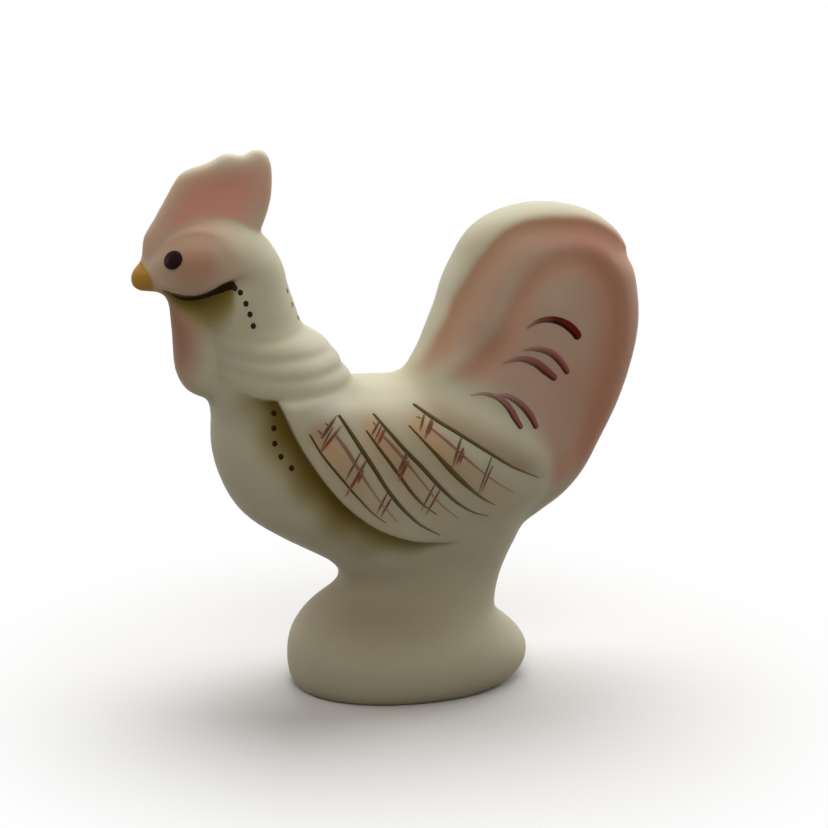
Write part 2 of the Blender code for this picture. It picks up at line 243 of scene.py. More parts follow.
# %% [markdown]
# ## The lines that the mould's cutter left
#
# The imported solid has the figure's forms in a few thousand facets. A finer skin could be sculpted by hand,
# but the lines are known: each groove and step follows a curve on the side of the bird, the same on both
# sides. So the curves are written down once, (along, up) in millimetres, and used twice: first to cut the
# fine skin crisp, then to place the stains, which pool in the same grooves.

# %% Lines on the side of the bird
RIM_EDGE = [
    (-1.6, 77.4), (2.1, 81.2), (5.0, 86.0), (7.9, 91.6), (9.8, 96.6), (12.4, 101.4), (14.9, 105.3),
    (18.0, 109.1), (21.2, 112.1), (25.6, 114.1), (30.4, 114.8), (36.0, 114.8), (41.2, 114.3), (45.8, 112.7),
    (49.4, 110.5), (52.4, 107.8),
]
RIM_OVER_REAR = [(55.0, 105.9), (58.0, 103.6), (62.0, 100.5)]
HEART_EDGE = [
    (4.0, 77.4), (8.8, 79.3), (13.4, 83.2), (17.6, 87.4), (20.6, 92.4), (22.6, 96.8), (25.2, 100.9),
    (28.2, 104.2), (31.8, 106.4), (35.8, 107.3), (40.2, 107.1), (44.4, 105.4), (47.6, 102.2), (49.5, 98.0),
    (50.4, 92.4), (50.1, 85.0), (48.7, 77.6), (45.9, 69.6), (42.3, 62.4), (38.4, 56.0), (34.2, 50.8),
]
WING_EDGE = [
    (-36.2, 77.2), (-34.5, 73.4), (-32.4, 68.6), (-29.6, 63.4), (-25.6, 57.4), (-21.0, 51.9), (-14.6, 46.7),
    (-8.0, 43.4), (-3.1, 41.8), (3.5, 40.6), (10.0, 40.4),
]
WING_TOP = [(-6.0, 81.0), (3.0, 79.0), (13.0, 76.0), (22.0, 70.5), (27.5, 61.0), (30.0, 50.0)]
JAW_LINE = [
    (-60.5, 102.0), (-57.6, 101.0), (-55.0, 100.4), (-52.9, 100.5), (-51.0, 101.2), (-49.1, 102.3),
    (-47.4, 103.4), (-45.8, 104.2), (-44.2, 104.6),
]
BROW_LINE = [
    (-58.1, 112.5), (-56.7, 113.6), (-55.3, 114.2), (-53.8, 114.6), (-52.2, 114.8), (-50.5, 114.8),
    (-48.7, 114.3), (-47.2, 113.3), (-46.0, 111.8), (-45.2, 110.2),
]
CROWN_LINE = [
    (-64.0, 106.4), (-62.6, 109.0), (-61.1, 111.2), (-57.9, 114.2), (-54.8, 116.2), (-50.7, 117.4),
    (-45.5, 117.4), (-41.9, 116.6), (-38.6, 114.9), (-35.5, 113.6),
]
BEAK_LINE = [(-64.9, 110.0), (-64.1, 107.4), (-63.1, 105.7), (-62.4, 103.8), (-62.0, 102.0), (-61.8, 99.5)]
RUFF_HEM = [(-52.0, 81.8), (-47.7, 80.2), (-43.0, 78.4), (-39.0, 77.1), (-35.8, 77.0), (-26.7, 77.9),
            (-15.0, 78.8)]
RUFF_CREASES = [
    [(-52.0, 93.4), (-49.2, 92.0), (-46.1, 91.0), (-42.7, 90.4), (-38.7, 90.0), (-34.5, 90.2), (-28.9, 90.9)],
    [(-52.0, 88.2), (-49.3, 87.3), (-46.1, 86.4), (-42.7, 86.1), (-39.1, 85.8), (-31.1, 86.0), (-22.4, 86.2)],
    [(-52.0, 84.4), (-46.8, 83.1), (-40.9, 82.4), (-34.6, 81.7), (-28.3, 81.8), (-21.1, 82.1), (-17.0, 82.0)],
]
LINE_FINENESS = 5
FAR_OFF = 1e3


def smooth_line(points, steps):
    """Evenly spaced points along a smooth curve through the given ones."""
    points = np.array(points, float)
    reach = np.concatenate([[0.0], np.cumsum(np.linalg.norm(np.diff(points, axis=0), axis=1))])
    slopes = np.gradient(points, reach, axis=0)
    wanted = np.linspace(0.0, reach[-1], steps)
    span = np.clip(np.searchsorted(reach, wanted, side="right") - 1, 0, len(points) - 2)
    width = (reach[span + 1] - reach[span])[:, None]
    t = (wanted - reach[span])[:, None] / width
    ease = t * t * (3.0 - 2.0 * t)
    leave, arrive = t * (1.0 - t) ** 2 * width, t * t * (t - 1.0) * width
    straight = points[span] * (1.0 - ease) + points[span + 1] * ease
    return straight + leave * slopes[span] + arrive * slopes[span + 1]


def smooth_step(value):
    """0 below 0 and 1 above 1, with a soft S between them."""
    value = np.clip(value, 0.0, 1.0)
    return value * value * (3.0 - 2.0 * value)


def grows(value, start, reach):
    """0 up to the start, then rising softly to 1 over the reach."""
    return smooth_step((value - start) / reach)


def fades(value, start, reach):
    """1 up to the start, then falling softly to 0 over the reach."""
    return 1.0 - grows(value, start, reach)


def before(value, end, reach):
    """0 from the end on, and rising softly to 1 over the reach before it."""
    return smooth_step((end - value) / reach)


def left_of(gap, blur):
    """1 on the left of a line and 0 on its right, with a soft edge as wide as the blur."""
    return smooth_step(gap / blur + 0.5)


def from_line(x, z, line):
    """Signed distance in mm from a line on the side of the bird: positive on its left."""
    points = smooth_line(line, LINE_FINENESS * len(line))
    best, side = np.full(len(x), FAR_OFF), np.ones(len(x))
    for (ax, az), (bx, bz) in zip(points[:-1], points[1:]):
        dx, dz = bx - ax, bz - az
        share = np.clip(((x - ax) * dx + (z - az) * dz) / (dx * dx + dz * dz), 0.0, 1.0)
        gap = np.hypot(x - ax - share * dx, z - az - share * dz)
        nearer = gap < best
        best[nearer] = gap[nearer]
        side[nearer] = np.where(dx * (z - az) - dz * (x - ax) >= 0.0, 1.0, -1.0)[nearer]
    return best * side


def around(x, z, line, reach):
    """1 on a line, fading to 0 at its reach."""
    return 1.0 - smooth_step(np.abs(from_line(x, z, line)) / reach)


print("points on the wing's edge:", len(WING_EDGE), "and on the heart's:", len(HEART_EDGE))

# %% [markdown]
# ## A fine skin
#
# The facets are merged and wrapped in a voxel skin of even cells, which is then smoothed, as acid rounds
# every ridge of a pressing. A Subdivision Surface could also round the facets, but it would keep their
# uneven net, and the stains need even cells to fade across. Where two colours meet at a line, the cells are
# split again, so that the edge of the stain stays sharp.

# %% Fine skin
SKIN_CELL = 0.72 * MM
SMOOTH_PASSES, SMOOTH_SHARE = 7, 0.5
SPLIT_REACH = 1.3
WELD = 1e-6

pressing = frame["nodes"]["rooster"].data.copy()
bm = bmesh.new()
bm.from_mesh(pressing)
bmesh.ops.remove_doubles(bm, verts=bm.verts, dist=WELD)
bm.to_mesh(pressing)
bm.free()
holder = bpy.data.objects.new("holder", pressing)
scene.collection.objects.link(holder)
remesh = holder.modifiers.new("skin", "REMESH")
remesh.mode = "VOXEL"
remesh.voxel_size = SKIN_CELL
bpy.context.view_layer.update()
skin = bpy.data.meshes.new_from_object(holder.evaluated_get(bpy.context.evaluated_depsgraph_get()))
skin.materials.clear()
bpy.data.objects.remove(holder)


def places(verts):
    """The x, y and z of vertices, in mm."""
    return np.array([v.co for v in verts]).T / MM


bm = bmesh.new()
bm.from_mesh(skin)
for _ in range(SMOOTH_PASSES):
    bmesh.ops.smooth_vert(
        bm, verts=bm.verts, factor=SMOOTH_SHARE, use_axis_x=True, use_axis_y=True, use_axis_z=True)
x, _, z = places(bm.verts)
near_line = np.zeros(len(x), bool)
for line in (WING_EDGE, JAW_LINE, BEAK_LINE):
    near_line |= np.abs(from_line(x, z, line)) < SPLIT_REACH
bm.verts.index_update()
split = [e for e in bm.edges if near_line[e.verts[0].index] and near_line[e.verts[1].index]]
bmesh.ops.subdivide_edges(bm, edges=split, cuts=1, use_grid_fill=True, smooth=0.0)
bmesh.ops.triangulate(bm, faces=[f for f in bm.faces if len(f.verts) > 4])
print("skin:", len(bm.verts), "points,", len(split), "edges split")

# %% [markdown]
# ## Crisp edges
#
# On the real pressing the wing stands over the breast with a clean step, and the jaw, the brow and the
# tail's rim have steps of their own. Smoothing has softened them all, and the creases of the ruff and the
# comb's root too. The skin is pushed along its own normals: out on one side of a step and in on the other,
# over less than a millimetre, and only in along a crease. A Boolean cut would be sharper still, but it would
# leave a wall that no mould can release.

# %% Crisp edges
WING_STEP, WING_STEP_REACH, WING_STEP_RAMP = 0.35, 4.0, 0.8
JAW_STEP, JAW_STEP_REACH, JAW_STEP_RAMP = 0.22, 2.5, 0.8
BROW_STEP, BROW_STEP_REACH, BROW_STEP_RAMP = 0.12, 2.0, 1.0
RIM_STEP, RIM_STEP_REACH, RIM_STEP_RAMP = 0.15, 3.0, 1.2
COMB_CREASE, COMB_CREASE_WIDTH = 0.25, 1.4
RUFF_CREASE, RUFF_CREASE_WIDTH = 0.15, 1.5
JAW_END, BROW_END, HEAD_FADE = -43.5, -46.5, 4.0
WING_STEP_FADES = (-6.0, 14.0)
RIM_STEP_GROWS = (84.0, 12.0)


def step(x, z, line, rise, reach, ramp):
    """A clean step: up on the left of the line, down on its right, fading over its reach."""
    gap = from_line(x, z, line)
    fade = 1.0 - smooth_step(np.abs(gap) / reach)
    return rise * fade * (2.0 * left_of(gap, ramp) - 1.0)


def below_ruff(x, z):
    """1 under the hem of the ruff, 0 above it."""
    hem_along, hem_height = np.array(RUFF_HEM).T
    return left_of(np.interp(x, hem_along, hem_height) - z, WING_STEP_RAMP)


bm.normal_update()
x, _, z = places(bm.verts)
wing = step(x, z, WING_EDGE, WING_STEP, WING_STEP_REACH, WING_STEP_RAMP) * below_ruff(x, z)
rim = step(x, z, RIM_EDGE, RIM_STEP, RIM_STEP_REACH, RIM_STEP_RAMP) * grows(x + z, *RIM_STEP_GROWS)
jaw = step(x, z, JAW_LINE, JAW_STEP, JAW_STEP_REACH, JAW_STEP_RAMP) * before(x, JAW_END, HEAD_FADE)
brow = step(x, z, BROW_LINE, BROW_STEP, BROW_STEP_REACH, BROW_STEP_RAMP) * before(x, BROW_END, HEAD_FADE)
crown = -COMB_CREASE * around(x, z, CROWN_LINE, COMB_CREASE_WIDTH)
ruff = sum(-RUFF_CREASE * around(x, z, line, RUFF_CREASE_WIDTH) for line in (*RUFF_CREASES, RUFF_HEM))
moves = wing * fades(x, *WING_STEP_FADES) + rim + jaw + brow + crown + ruff
for vertex, move in zip(bm.verts, moves * MM):
    vertex.co += vertex.normal * move
bm.to_mesh(skin)
bm.free()
skin.shade_smooth()
tree = BVHTree.FromPolygons([v.co for v in skin.vertices], [p.vertices for p in skin.polygons])
print("triangles:", sum(len(p.vertices) - 2 for p in skin.polygons))
print("pushed in mm: from %.2f to %.2f" % (moves.min(), moves.max()))

# %% [markdown]
# ## The stains
#
# Airbrushed stain has no edge of its own: it is dense where the nozzle passed and fades around it. Nodes
# could draw it, but these stains follow the carving, so it is easier to work out a colour for each point of
# the skin and keep it as a colour attribute. Each stain is a distance from one of the lines above, or an
# oval where the nozzle stood still: a spot, written as its colour, strength, middle and radii in millimetres.
# A pair of values such as CLEAR_OF_WING is where a stain starts to fade and how far its fading reaches.

# %% Stain colours
CUSTARD = np.array((0.66, 0.618, 0.46))
PINK = np.array((0.69, 0.345, 0.25))
COMB_PINK = np.array((0.79, 0.41, 0.315))
BLUSH = np.array((0.65, 0.42, 0.325))
TAN = np.array((0.70, 0.445, 0.29))
BRICK = np.array((0.55, 0.255, 0.165))
OLIVE = np.array((0.135, 0.088, 0.005))
OLIVE_HAZE = np.array((0.34, 0.275, 0.065))
OCHRE = np.array((0.58, 0.31, 0.05))
PEACH = np.array((0.61, 0.38, 0.21))
BROWN = np.array((0.50, 0.27, 0.15))
DUSK = np.array((0.41, 0.225, 0.155))
# UMBER serves the wing's wash and painted shade; PALE paints highlights.
UMBER = np.array((0.36, 0.265, 0.165))
PALE = np.array((0.78, 0.75, 0.63))
PINK_TAN = (PINK + TAN) / 2.0


def over(colour, stain, strength):
    """Lays a colour over what is there: a stain, a painted highlight or a painted shade."""
    strength = np.clip(strength, 0.0, 1.0)[:, None]
    return colour * (1.0 - strength) + stain * strength


def spot(x, z, centre, radii):
    """1 at the middle of an oval, fading to 0 at its edge."""
    return 1.0 - smooth_step(np.hypot((x - centre[0]) / radii[0], (z - centre[1]) / radii[1]))


def lay_spots(x, z, colour, spots, mask=1.0):
    """Lays a list of ovals of stain or painted light, one over the other, where the mask lets them."""
    for stain, strength, centre, radii in spots:
        colour = over(colour, stain, strength * mask * spot(x, z, centre, radii))
    return colour


print("bare glass:", CUSTARD.tolist())

# %% [markdown]
# ## Painted highlights and shade on the glass
#
# Painted highlights lighten the glass over the comb's tips and front, the tail's rim, the ruff, the shoulder
# and the shaded underside of the belly, and a painted shade darkens the pillar under the body. A noise could
# scatter such patches, but these sit at given places, so they are listed one by one.

# %% Painted highlights and shade
COMB_FROM = -30.0
COMB_SLOPE, COMB_SLOPE_FROM = 0.15, -45.0
# Painted highlights over the comb's tips and its front edge.
COMB_TIPS_HIGHLIGHT, COMB_TIPS_FROM, COMB_TIPS_REACH = 0.55, 126.5, 4.5
COMB_FRONT_HIGHLIGHT, COMB_FRONT_MIDDLE, COMB_FRONT_RADII = 0.5, (-62.0, 119.0), (5.0, 9.0)
# Painted shade on the pillar under the body.
PILLAR_SHADE = [(UMBER, 0.6, (-13.0, 22.0), (36.0, 13.0))]
# Painted highlights on the tail's rim, the ruff, the shaded underside of the belly and the shoulder.
HIGHLIGHT_SPOTS = [
    (PALE, 0.6, (8.0, 100.0), (6.0, 20.0)),
    (PALE, 0.6, (-25.0, 84.5), (12.0, 8.0)),
    (PALE, 0.6, (-16.0, 36.5), (15.0, 7.0)),
    (PALE, 0.7, (-24.5, 73.5), (11.0, 8.0)),
]


def over_comb_tips(x, z, start, reach):
    """0 low on the comb and 1 over its tips, which stand higher towards the rear."""
    return smooth_step((z - start - COMB_SLOPE * (x - COMB_SLOPE_FROM)) / reach)


def glass_highlights_and_shade(x, z, colour):
    """Painted shade on the pillar, and painted highlights on the comb, tail, ruff, belly and shoulder."""
    colour = lay_spots(x, z, colour, PILLAR_SHADE)
    over_comb = over_comb_tips(x, z, COMB_TIPS_FROM, COMB_TIPS_REACH) * (x < COMB_FROM)
    over_front = COMB_FRONT_HIGHLIGHT * spot(x, z, COMB_FRONT_MIDDLE, COMB_FRONT_RADII)
    colour = over(colour, PALE, COMB_TIPS_HIGHLIGHT * np.maximum(over_comb, over_front))
    return lay_spots(x, z, colour, HIGHLIGHT_SPOTS)


# Counts the painted highlight spots.
print("painted highlight spots:", len(HIGHLIGHT_SPOTS))

# %% [markdown]
# ## Stain on the tail
#
# The painter filled the whole panel inside the rim with blush, ran tan down the groove beside the rim, and
# went round the heart and up the rear edge with pink and brick. The middle of the heart was left paler. Each
# pass is laid over the one before, as it was with the airbrush.

# %% Tail stain
TAIL_FROM = -8.0
CLEAR_OF_WING, CLEAR_OF_SADDLE, CLEAR_OF_FOOT = (-1.0, 6.0), (-3.0, 5.0), (45.0, 12.0)
RIM_INNER, RIM_BLUR = 0.75, 2.2
TAIL_BLUSH = 0.82
GROOVE_WIDTH, GROOVE_WIDENS_BY, GROOVE_WIDENS = 2.0, 4.5, (78.0, 20.0)
GROOVE_FROM_RIM, GROOVE_TAN, GROOVE_LOW, GROOVE_FILLS = 1.0, 0.95, 0.55, (80.0, 12.0)
GROOVE_PINK, GROOVE_REDDENS = 0.5, (22.0, 18.0)
RIDGE_MIDDLE, RIDGE_HALF, RIDGE_RUBBED, RIDGE_ENDS = 2.6, 2.8, 0.3, (16.0, 14.0)
RING_OUTER, RING_BLUR, RING_STAIN, RING_FADES = 0.6, 2.6, 0.85, (1.5, 6.5)
REAR_STAIN, REAR_FROM, REAR_MIDDLE, REAR_HALF = 0.85, (36.0, 8.0), -1.0, 11.0
TAIL_SPOTS = [
    (DUSK, 0.4, (17.0, 86.5), (9.0, 9.0)),
    (BRICK, 0.3, (38.0, 74.0), (13.0, 16.0)),
    (PINK, 0.75, (43.0, 110.0), (17.0, 7.5)),
]
HEART_MIDDLE = [(CUSTARD, 0.32, (33.0, 97.0), (9.0, 8.0))]


def tail_stain(x, z, colour):
    """Tan in the groove inside the rim, blush over the heart, and pink round it and up the rear edge."""
    rim, heart = from_line(x, z, RIM_EDGE + RIM_OVER_REAR), from_line(x, z, HEART_EDGE)
    wing, on_tail, in_rim = from_line(x, z, WING_TOP), x > TAIL_FROM, smooth_step(RIM_INNER - rim / RIM_BLUR)
    off_wing = grows(wing, *CLEAR_OF_WING) * on_tail * grows(z, *CLEAR_OF_FOOT)
    inside = in_rim * off_wing
    colour = over(colour, BLUSH, TAIL_BLUSH * inside)

    groove_width = GROOVE_WIDTH + GROOVE_WIDENS_BY * grows(z, *GROOVE_WIDENS)
    groove = in_rim * fades(-rim, GROOVE_FROM_RIM, groove_width) * (grows(wing, *CLEAR_OF_SADDLE) * on_tail)
    filled = GROOVE_LOW + (1.0 - GROOVE_LOW) * grows(z, *GROOVE_FILLS)
    colour = over(colour, TAN, GROOVE_TAN * groove * filled)
    colour = over(colour, PINK, GROOVE_PINK * groove * grows(x, *GROOVE_REDDENS))

    ridge = 1.0 - smooth_step(np.abs(heart - RIDGE_MIDDLE) / RIDGE_HALF)
    colour = over(colour, CUSTARD, RIDGE_RUBBED * ridge * off_wing * fades(x, *RIDGE_ENDS))
    ring = smooth_step(RING_OUTER - heart / RING_BLUR) * fades(-heart, *RING_FADES)
    colour = over(colour, PINK_TAN, RING_STAIN * ring * inside)
    rear = grows(x, *REAR_FROM) * (1.0 - smooth_step(np.abs(heart - REAR_MIDDLE) / REAR_HALF))
    colour = over(colour, BRICK, REAR_STAIN * rear * inside)
    return lay_spots(x, z, lay_spots(x, z, colour, TAIL_SPOTS, inside), HEART_MIDDLE)


print("tail spots:", len(TAIL_SPOTS + HEART_MIDDLE))

# %% [markdown]
# ## Stain and painted shade on the head
#
# The comb is pink and was rubbed thin towards its tips, its front and its rear corner. A blush lies over the
# face, with a painted shade that darkens it to brown under the brow, the wattle is a dusky pink, and the beak
# was dipped in ochre, which is the one stain here with a sharp edge.

# %% Head stain
COMB_BLUR, COMB_LAP, COMB_FLOOR, COMB_STAIN = 1.2, 0.4, 106.0, 0.95
TIPS_RUBBED, TIPS_FROM, TIPS_REACH = 0.95, 124.8, 6.5
FRONT_LEFT, FRONT_FOOT, FRONT_LEAN, FRONT_REACH = 0.45, (-62.3, 112.0), 0.5, 5.0
CORNER_RUBBED, CORNER_MIDDLE, CORNER_RADII = 0.8, (-35.5, 117.0), (7.5, 6.5)
REAR_RUBBED, REAR_RUBBED_FROM = 0.4, (-41.0, 6.0)
FACE_TO, FACE_FLOOR = -34.0, 96.0
FACE_SPOTS = [
    (BLUSH, 0.95, (-54.0, 108.0), (17.5, 14.0)),
    (PINK, 0.35, (-50.0, 115.5), (10.0, 4.5)),
]
# Painted shade under the brow.
UNDER_BROW_SHADE, BROW_BLUR = [(BROWN, 0.4, (-52.0, 109.0), (11.0, 9.0))], 1.6
CHEEK_SPOTS = [(BROWN, 0.42, (-54.5, 110.0), (12.0, 13.0))]
WATTLE_MIDDLE, WATTLE_RADII, WATTLE_TOP = (-58.5, 90.5), (9.5, 16.0), 101.0
WATTLE_PASSES = ((PINK, 1.1), (DUSK, 1.0))
BEAK_BLUR, BEAK_TO, BEAK_FLOOR, BEAK_TOP = 0.5, -60.0, 98.0, 109.5


def head_stain_and_shade(x, z, colour):
    """Pink on the comb, the face and the wattle, painted shade under the brow, ochre on the beak."""
    above_crown = smooth_step(from_line(x, z, CROWN_LINE) / COMB_BLUR + COMB_LAP)
    comb = above_crown * (x < COMB_FROM) * (z > COMB_FLOOR)
    tips = 1.0 - TIPS_RUBBED * over_comb_tips(x, z, TIPS_FROM, TIPS_REACH)
    from_front = x - FRONT_FOOT[0] - FRONT_LEAN * (z - FRONT_FOOT[1])
    front = FRONT_LEFT + (1.0 - FRONT_LEFT) * smooth_step(from_front / FRONT_REACH)
    corner = 1.0 - CORNER_RUBBED * spot(x, z, CORNER_MIDDLE, CORNER_RADII)
    rear = corner * (1.0 - REAR_RUBBED * grows(x, *REAR_RUBBED_FROM))
    colour = over(colour, COMB_PINK, COMB_STAIN * comb * tips * front * rear)

    face = (1.0 - comb) * (x < FACE_TO) * (z > FACE_FLOOR)
    under_brow = left_of(-from_line(x, z, BROW_LINE), BROW_BLUR) * before(x, BROW_END, HEAD_FADE)
    colour = lay_spots(x, z, colour, FACE_SPOTS, face)
    colour = lay_spots(x, z, colour, UNDER_BROW_SHADE, face * under_brow)
    colour = lay_spots(x, z, colour, CHEEK_SPOTS, face)

    wattle = spot(x, z, WATTLE_MIDDLE, WATTLE_RADII) * (z < WATTLE_TOP)
    for stain, strength in WATTLE_PASSES:
        colour = over(colour, stain, strength * wattle)
    beak = left_of(-from_line(x, z, BEAK_LINE), BEAK_BLUR)
    return over(colour, OCHRE, beak * (x < BEAK_TO) * (z < BEAK_TOP) * (z > BEAK_FLOOR))


print("face spots:", len(FACE_SPOTS + UNDER_BROW_SHADE + CHEEK_SPOTS))

# %% [markdown]
# ## Olive stain
#
# The darkest stain pools under the jaw and in front of the wing. It was wiped off the raised side of each
# step, so it is sharp against the jaw and the wing's edge and soft away from them. A thin haze of the same
# olive reaches a little further, as overspray does.

# %% Olive stain
THROAT_MIDDLE, THROAT_HALF, THROAT_DEPTH, THROAT_FLOOR = -51.0, 9.2, 8.6, 86.0
THROAT_FRONT, THROAT_FILLS_OVER, THINNEST = 0.35, 1.3, 0.01
JAW_BLUR, JAW_OLIVE_FADE = 0.7, 2.0
THROAT_OLIVE, THROAT_SOLID = 1.05, 0.1
THROAT_HAZE, THROAT_HAZE_SOLID, HAZE_LEAST_DEPTH = 0.9, 0.55, 1.0
WING_BLUR, WING_OLIVE_TO = 0.6, 16.0
OLIVE_LASTS, OLIVE_NARROWS, OLIVE_THINS = (-4.0, 14.0), (-18.0, 26.0), (-24.0, 12.0)
OLIVE_REACH, OLIVE_LEAST, OLIVE_WAVE, WAVE_ALONG, WAVE_UP = 8.0, 0.8, 1.5, 0.45, 0.31
WING_OLIVE, WING_OLIVE_LOSES = 1.1, 0.5
WING_HAZE, WING_HAZE_BEYOND = 0.85, 3.5


def throat_olive(x, z, colour):
    """Olive under the jaw, deepest below the cheek."""
    jaw = from_line(x, z, JAW_LINE)
    under_jaw = left_of(-jaw, JAW_BLUR) * (z > THROAT_FLOOR) * before(x, JAW_END, JAW_OLIVE_FADE)
    bow = np.clip(1.0 - ((x - THROAT_MIDDLE) / THROAT_HALF) ** 2, THINNEST, 1.0)
    filled = smooth_step((x - THROAT_MIDDLE + THROAT_HALF) / (THROAT_FILLS_OVER * THROAT_HALF))
    depth = THROAT_DEPTH * np.sqrt(bow) * (THROAT_FRONT + (1.0 - THROAT_FRONT) * filled)
    haze = (1.0 - smooth_step(-jaw / depth - THROAT_HAZE_SOLID)) * (depth > HAZE_LEAST_DEPTH)
    colour = over(colour, OLIVE_HAZE, THROAT_HAZE * under_jaw * haze)
    return over(colour, OLIVE, THROAT_OLIVE * under_jaw * (1.0 - smooth_step(-jaw / depth - THROAT_SOLID)))


def breast_olive(x, z, colour):
    """Olive in front of the wing and under it, narrowing towards the tail."""
    wing = from_line(x, z, WING_EDGE)
    narrow = fades(x, *OLIVE_NARROWS)
    lasting = left_of(-wing, WING_BLUR) * below_ruff(x, z) * (x < WING_OLIVE_TO) * fades(x, *OLIVE_LASTS)
    wave = OLIVE_WAVE * np.sin(x * WAVE_ALONG) * np.sin(z * WAVE_UP)
    reach = (OLIVE_REACH + wave) * narrow + OLIVE_LEAST
    haze = 1.0 - smooth_step(-wing / (reach + WING_HAZE_BEYOND * narrow))
    colour = over(colour, OLIVE_HAZE, WING_HAZE * lasting * haze)
    dense = WING_OLIVE - WING_OLIVE_LOSES * grows(x, *OLIVE_THINS)
    return over(colour, OLIVE, dense * lasting * (1.0 - smooth_step(-wing / reach)))


print("olive: under the jaw and before the wing")

# %% [markdown]
# ## Stain and painted shade on the wing
#
# Each of the three feathers has a peach wash in its lower half, and a painted shade lies along the top of the
# wing, sharp at the uppermost line and soft above it. These places were read off the photograph, so the
# camera's rays carry them onto the skin, where they become lines like the others.

# %% Wing stain
TOP_LINE = [(412.8, 403.5), (433.1, 417.8), (461.8, 435.5), (490.6, 453.5), (511.4, 466), (539.5, 478)]
WASH_LINES = [
    [(322, 436), (334, 452), (347, 470), (360, 488), (374, 504), (390, 521)],
    [(373, 430), (385, 445), (397, 460), (408, 476), (420, 492), (437, 510)],
    [(420, 427), (432, 440), (446, 454), (462, 470), (480, 486), (500, 498)],
]
# Painted shade above the wing's uppermost line.
TOP_SHADE, TOP_BLUR, TOP_REACH = 0.8, 0.6, 8.5
SHADE_STARTS, SHADE_ENDS = (-0.5, 8.0), (-6.0, 10.0)
WASH_PEACH, WASH_REACH = 0.85, 5.0
WASH_UMBER, WASH_UMBER_REACH = 0.3, 10.0
WASH_LOSES = 0.7


def on_side(pixels):
    """Pixels of the photograph as places on the side of the bird, in mm."""
    hits = [tree.ray_cast(*ray_through(pixel))[0] / MM for pixel in pixels]
    return [(hit.x, hit.z) for hit in hits]


top_edge = on_side(TOP_LINE)
washes = [on_side(line) for line in WASH_LINES]


def wing_stain_and_shade(x, z, colour):
    """A painted shade above the uppermost line, and a peach wash in the lower half of each feather."""
    above, start, end = from_line(x, z, top_edge), top_edge[0][0], top_edge[-1][0]
    shade = left_of(above, TOP_BLUR) * (1.0 - smooth_step(above / TOP_REACH))
    lasting = grows(x - start, *SHADE_STARTS) * fades(x - end, *SHADE_ENDS)
    # Painted shade above the uppermost line.
    colour = over(colour, UMBER, TOP_SHADE * shade * lasting)
    for line in washes:
        start, end = line[0][0], line[-1][0]
        fading = 1.0 - WASH_LOSES * smooth_step((x - start) / (end - start))
        colour = over(colour, UMBER, WASH_UMBER * around(x, z, line, WASH_UMBER_REACH) * fading)
        colour = over(colour, PEACH, WASH_PEACH * around(x, z, line, WASH_REACH) * fading)
    return colour


print("wing: top edge from %.1f to %.1f mm along" % (top_edge[0][0], top_edge[-1][0]))

# %% [markdown]
# ## Painting the skin
#
# The painted highlights and shade of the glass are laid first, then the stains in the order of the work:
# the tail, the head and the wing, and the olive last, since it is the darkest and covers what lies under it.
# Stained glass scatters less light than bare glass, so the attribute's alpha keeps how bare each point is,
# and the material reads both.

# %% Paint the skin
BARE_FROM, BARE_OVER = 0.12, 0.40


def stains_and_painted_light(points):
    """The colour of the glass at points in metres."""
    x, z = points[:, 0] / MM, points[:, 2] / MM
    colour = np.tile(CUSTARD, (len(x), 1))
    for stain in (glass_highlights_and_shade, tail_stain, head_stain_and_shade, wing_stain_and_shade, throat_olive, breast_olive):
        colour = stain(x, z, colour)
    return colour


colours = stains_and_painted_light(np.array([v.co for v in skin.vertices]))
bare = grows(colours[:, 1:2], BARE_FROM, BARE_OVER)
layer = skin.color_attributes.new("paint", "FLOAT_COLOR", "POINT")
layer.data.foreach_set("color", np.hstack([colours, bare]).ravel())
rooster = bpy.data.objects.new("satin_rooster", skin)
scene.collection.objects.link(rooster)
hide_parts("rooster")
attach(rooster, "root")
print("painted:", len(colours), "points, mean colour", [round(float(c), 3) for c in colours.mean(axis=0)])

# %% [markdown]
# ## Satin glass
#
# Acid leaves glass with a dry, even bloom: light enters, spreads a few millimetres and comes back soft, and
# the surface shows no mirror. Subsurface scattering does the first and a high roughness the second. A fine
# bump stands for the grain of the etch, and a slow noise for the uneven depth of a hand dip. The enamels are
# the same material without the scattering, so one function makes them all.

# %% Satin glass
SCATTER_SPREAD, SCATTER_DEPTH = (1.0, 0.62, 0.34), 4.5 * MM
CLOUD_SCALE, CLOUD_DETAIL = 140.0, 4.0
ETCH_SCALE, ETCH_DETAIL, ETCH_DEPTH = 1900.0, 2.0, 0.05 * MM


def add_noise(nodes, links, scale, detail):
    """Noise on the object's own coordinates, from 0 to 1."""
    place = nodes.new("ShaderNodeTexCoord")
    noise = nodes.new("ShaderNodeTexNoise")
    noise.inputs["Scale"].default_value = scale
    noise.inputs["Detail"].default_value = detail
    links.new(place.outputs["Object"], noise.inputs["Vector"])
    return noise.outputs["Fac"]


